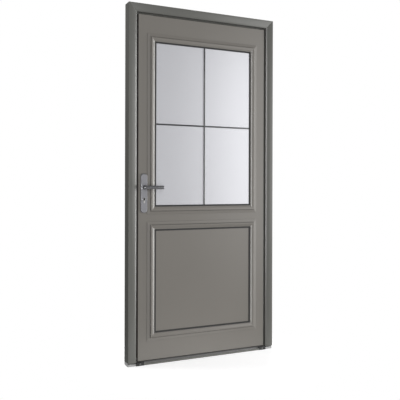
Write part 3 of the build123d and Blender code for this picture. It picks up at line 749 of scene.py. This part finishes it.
PLATE_GREY = ((0.31, 0.31, 0.328, 1), (0.41, 0.41, 0.43, 1))
PLATE_MARKS = (2600.0, 2600.0, 45.0)
plate_steel = brushed("plate_steel", PLATE_MARKS, *PLATE_GREY, roughness=0.27, metallic=1.0)
PLATE_EASING = 0.0014
for plate in ("outer_backplate", "inner_backplate"):
    dressed(plate, eased(plate, PLATE_EASING), plate_steel)
plate_low, plate_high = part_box("inner_backplate")
PLATE_SCREW = 0.0045
PLATE_SCREW_INSET = 0.015
plate_screws = [
    Vector(((plate_low.x + plate_high.x) / 2, plate_high.y, z))
    for z in (plate_low.z + PLATE_SCREW_INSET, plate_high.z - PLATE_SCREW_INSET)
]
screws("backplate_screws", plate_screws, INTO, PLATE_SCREW, "leaf")


# Lock: a profile barrel through the leaf, a steel faceplate let into the latch edge, and the latch and
# the bolt drawn back flush with it.
BARREL_EASING = 0.0005
FACEPLATE_EASING = 0.0004
dressed("lock_barrel", eased("lock_barrel", BARREL_EASING), lock_steel)
for member in ("lock_faceplate", "lock_bolts"):
    dressed(member, eased(member, FACEPLATE_EASING), lock_steel)
face_low, face_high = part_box("lock_faceplate")
face_middle = (face_low.y + face_high.y) / 2
face_length = face_high.z - face_low.z
FACEPLATE_SCREW_SHARES = (0.02, 0.32, 0.68, 0.98)
faceplate_screws = [
    Vector((face_low.x, face_middle, face_low.z + share * face_length))
    for share in FACEPLATE_SCREW_SHARES
]
screws("faceplate_screws", faceplate_screws, -RIGHT, STRIKE_SCREW, "leaf")


# Plugs: the turning core in each face of the barrel, with a chamfered rim and a slot for the key. Its
# steel is painted near black: painted shade for the dark keyhole in the barrel's face.
PLUG_RADIUS = 0.0066
PLUG_FLARE = 1.06
PLUG_PROUD = 0.0006
KEYWAY = (0.0022, 0.009)
KEYWAY_DEPTH = 0.0048
# Near black plug steel: painted shade where the keyhole reads dark.
plug_shade_black = nickel("plug_shade_black", (0.010, 0.010, 0.010, 1), (0.022, 0.022, 0.021, 1))
barrel_low, barrel_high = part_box("lock_barrel")
BARREL_RADIUS = (barrel_high.x - barrel_low.x) / 2
plugs = bmesh.new()
for face_y, outward in ((barrel_low.y, -INTO), (barrel_high.y, INTO)):
    before = set(plugs.verts)
    rim = bmesh.ops.create_circle(plugs, segments=32, radius=PLUG_RADIUS)["verts"]
    rim_edges = [e for e in plugs.edges if set(e.verts) <= set(rim)]
    slot = bmesh.ops.create_grid(plugs, x_segments=1, y_segments=1, size=0.5)["verts"]
    bmesh.ops.scale(plugs, vec=(*KEYWAY, 1), verts=slot)
    slot_edges = [e for e in plugs.edges if set(e.verts) <= set(slot)]
    slot_faces = [f for f in plugs.faces if set(f.verts) <= set(slot)]
    bmesh.ops.delete(plugs, geom=slot_faces, context="FACES_ONLY")
    bmesh.ops.bridge_loops(plugs, edges=rim_edges + slot_edges)
    skirt = vertices(bmesh.ops.extrude_edge_only(plugs, edges=rim_edges)["geom"])
    bmesh.ops.scale(plugs, vec=(PLUG_FLARE, PLUG_FLARE, 1), verts=skirt)
    bmesh.ops.translate(plugs, vec=(0, 0, -PLUG_PROUD), verts=skirt)
    well = vertices(bmesh.ops.extrude_edge_only(plugs, edges=slot_edges)["geom"])
    bmesh.ops.translate(plugs, vec=(0, 0, -KEYWAY_DEPTH), verts=well)
    bmesh.ops.contextual_create(plugs, geom=well)
    core = Vector((barrel_low.x + BARREL_RADIUS, face_y, barrel_high.z - BARREL_RADIUS))
    seat = seated(core + outward * PLUG_PROUD, outward)
    bmesh.ops.transform(plugs, matrix=seat, verts=[v for v in plugs.verts if v not in before])
piece("barrel_plugs", close_smooth(plugs, angle=0.3), plug_shade_black, "leaf")


# Levers: round bars of satin steel, mitred at the elbow, welded and polished, each with a collar that
# turns on its backplate. Their steel is painted darker than the backplates' as shade, for the dark
# reflections along a round bar. A square spindle joins them, and a grub screw under each neck grips it.
LEVER_RADIUS = 0.011
LEVER_SIDES = 56
TIP_ROUND = 0.004
COLLAR_RADIUS = 0.0135
COLLAR_LENGTH = 0.007
COLLAR_ROUND = 0.0018
GRUB_RADIUS = 0.0024
GRUB_REACH = 0.014
# The lever grey is the plates' steel painted darker: painted shade for the bars' dark reflections.
LEVER_GREY_SHADED = ((0.22, 0.22, 0.228, 1), (0.31, 0.31, 0.32, 1))
LEVER_MARKS = (60.0, 2600.0, 2600.0)
lever_steel_shaded = brushed("lever_steel_shaded", LEVER_MARKS, *LEVER_GREY_SHADED, roughness=0.19, metallic=0.9)
handle_x, _, handle_z = joint_place("lever_turn")


def round_end(mesh, rim, radius, segments):
    """Rounds the edges between these vertices."""
    ring = set(rim)
    edges = [e for e in mesh.edges if set(e.verts) <= ring and len(e.link_faces) == 2]
    bmesh.ops.bevel(
        mesh, geom=edges, offset=radius, affect="EDGES", segments=segments, profile=0.5, material=-1
    )


def grown(mesh, face):
    """Extrudes a face where it stands and gives the new face and its vertices."""
    far = bmesh.ops.extrude_face_region(mesh, geom=[face])["geom"]
    end = next(item for item in far if isinstance(item, bmesh.types.BMFace))
    return end, end.verts[:]


for member, outward in (("outer_lever", -INTO), ("inner_lever", INTO)):
    low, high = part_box(member)
    foot_y = high.y if outward.y < 0 else low.y
    grip_y = (low.y if outward.y < 0 else high.y) - outward.y * LEVER_RADIUS
    foot = seated((handle_x, foot_y, handle_z), outward)
    lever = bmesh.new()
    bmesh.ops.create_circle(
        lever, cap_ends=True, segments=LEVER_SIDES, radius=LEVER_RADIUS, matrix=foot
    )
    end_face, elbow = grown(lever, lever.faces[:][0])
    mitre = Matrix.Translation((0, grip_y - foot_y + outward.y * handle_x, 0))
    mitre[1][0] = -outward.y
    bmesh.ops.transform(lever, matrix=mitre, verts=elbow)
    _, tip = grown(lever, end_face)
    bmesh.ops.scale(lever, vec=(0, 1, 1), space=Matrix.Translation((-high.x, 0, 0)), verts=tip)
    round_end(lever, tip, TIP_ROUND, segments=6)
    collar = bmesh.ops.create_circle(
        lever, cap_ends=True, segments=LEVER_SIDES, radius=COLLAR_RADIUS, matrix=foot
    )["verts"]
    collar_face = next(f for f in lever.faces if set(f.verts) == set(collar))
    _, collar_rim = grown(lever, collar_face)
    bmesh.ops.translate(lever, vec=outward * COLLAR_LENGTH, verts=collar_rim)
    round_end(lever, collar_rim, COLLAR_ROUND, segments=4)
    dressed(member, close_smooth(lever), lever_steel_shaded)
    grub_place = Vector((handle_x, foot_y + outward.y * GRUB_REACH, handle_z - LEVER_RADIUS))
    screws(f"{member}_grub_screw", [grub_place], -UP, GRUB_RADIUS, "handle")
nodes["spindle"].material_slots[0].material = lock_steel


# Studio: a pale floor that fades into a white backdrop. A tall soft light stands near the viewer and a
# broad panel at the front right, two strips graze the door from its right side and two high ones fill
# the back.
FLOOR_REACH = 7.0
FLOOR_FULL = 0.05
FLOOR_GONE = 0.85
FLOOR_GLOW = 0.37
floor_mesh = bmesh.new()
bmesh.ops.create_circle(floor_mesh, cap_ends=True, segments=64, radius=FLOOR_REACH)
floor_data = bpy.data.meshes.new("floor")
floor_mesh.to_mesh(floor_data)
floor_mesh.free()
floor = bpy.data.objects.new("floor", floor_data)
bpy.context.scene.collection.objects.link(floor)
pale_floor, shade = new_material("pale_floor")
place = shade.node("ShaderNodeTexCoord", output="Object")
distance = shade.node("ShaderNodeVectorMath", {"operation": "LENGTH"}, {0: place}, "Value")
gone = shade.node(
    "ShaderNodeMapRange",
    {"interpolation_type": "SMOOTHSTEP"},
    {"Value": distance, "From Min": FLOOR_FULL, "From Max": FLOOR_GONE},
)
mottle = shade.noise(scale=30.0)
set_shader(
    pale_floor,
    {
        "Base Color": mottle.colour((0.93, 0.93, 0.93, 1), (0.95, 0.95, 0.95, 1)),
        "Roughness": 0.8,
        "Alpha": 1 - gone,
        "Emission Color": (1.0, 1.0, 1.0, 1),
        "Emission Strength": FLOOR_GLOW,
    },
)
floor.data.materials.append(pale_floor)

scene = bpy.context.scene
scene.view_settings.view_transform = "Standard"
scene.world = bpy.data.worlds.new("studio")
scene.world.use_nodes = True
sky = Shade(scene.world.node_tree)
seen = sky.node("ShaderNodeLightPath", output="Is Camera Ray")
backdrop = scene.world.node_tree.nodes["Background"]
AMBIENT = (0.20, 0.20, 0.206, 1)
BACKDROP = (1.0, 1.0, 1.0, 1)
ambient_light = seen.colour(AMBIENT, BACKDROP)
scene.world.node_tree.links.new(ambient_light.socket, backdrop.inputs["Color"])
LIGHTS_AIM = Vector((0, 0, 1.1))
for name, place, width, height, power in (
    ("viewer_light", (-1.2, -4.45, 1.2), 0.72, 5.0, 148.0),
    ("right_panel", (3.55, -4.2, 1.6), 2.6, 3.6, 41.0),
    ("right_strip", (4.06, -2.16, 1.1), 0.6, 5.2, 134.0),
    ("right_graze", (4.56, -0.64, 1.3), 1.2, 3.6, 116.0),
    ("back_fill", (1.9, 3.6, 4.4), 2.4, 2.4, 170.0),
    ("left_fill", (-3.4, 2.2, 4.0), 2.2, 2.2, 130.0),
):
    lamp = bpy.data.lights.new(name, "AREA")
    lamp.shape = "RECTANGLE"
    lamp.size = width
    lamp.size_y = height
    lamp.energy = power
    softbox = bpy.data.objects.new(name, lamp)
    softbox.location = place
    softbox.rotation_euler = (LIGHTS_AIM - Vector(place)).to_track_quat("-Z", "Y").to_euler()
    softbox.visible_camera = False
    scene.collection.objects.link(softbox)


# Camera: at about the eye height of a seated viewer, left of the door and level. A small shift of the
# lens sets the door at its height in the photograph.
CAMERA_PLACE = (-1.618, -3.398, 1.0765)
CAMERA_TURN = -25.25
CAMERA_TILT = 90.0
CAMERA_ROLL = 0.15
SENSOR_WIDTH = 36.0
FOCAL_LENGTH = 54.0
LENS_SHIFT = -0.039
lens = bpy.data.cameras.new("camera")
lens.sensor_width = SENSOR_WIDTH
lens.lens = FOCAL_LENGTH
lens.shift_y = LENS_SHIFT
camera = bpy.data.objects.new("camera", lens)
camera.matrix_world = (
    Matrix.Translation(CAMERA_PLACE)
    @ Matrix.Rotation(math.radians(CAMERA_TURN), 4, "Z")
    @ Matrix.Rotation(math.radians(CAMERA_TILT), 4, "X")
    @ Matrix.Rotation(math.radians(CAMERA_ROLL), 4, "Z")
)
scene.collection.objects.link(camera)
scene.camera = camera
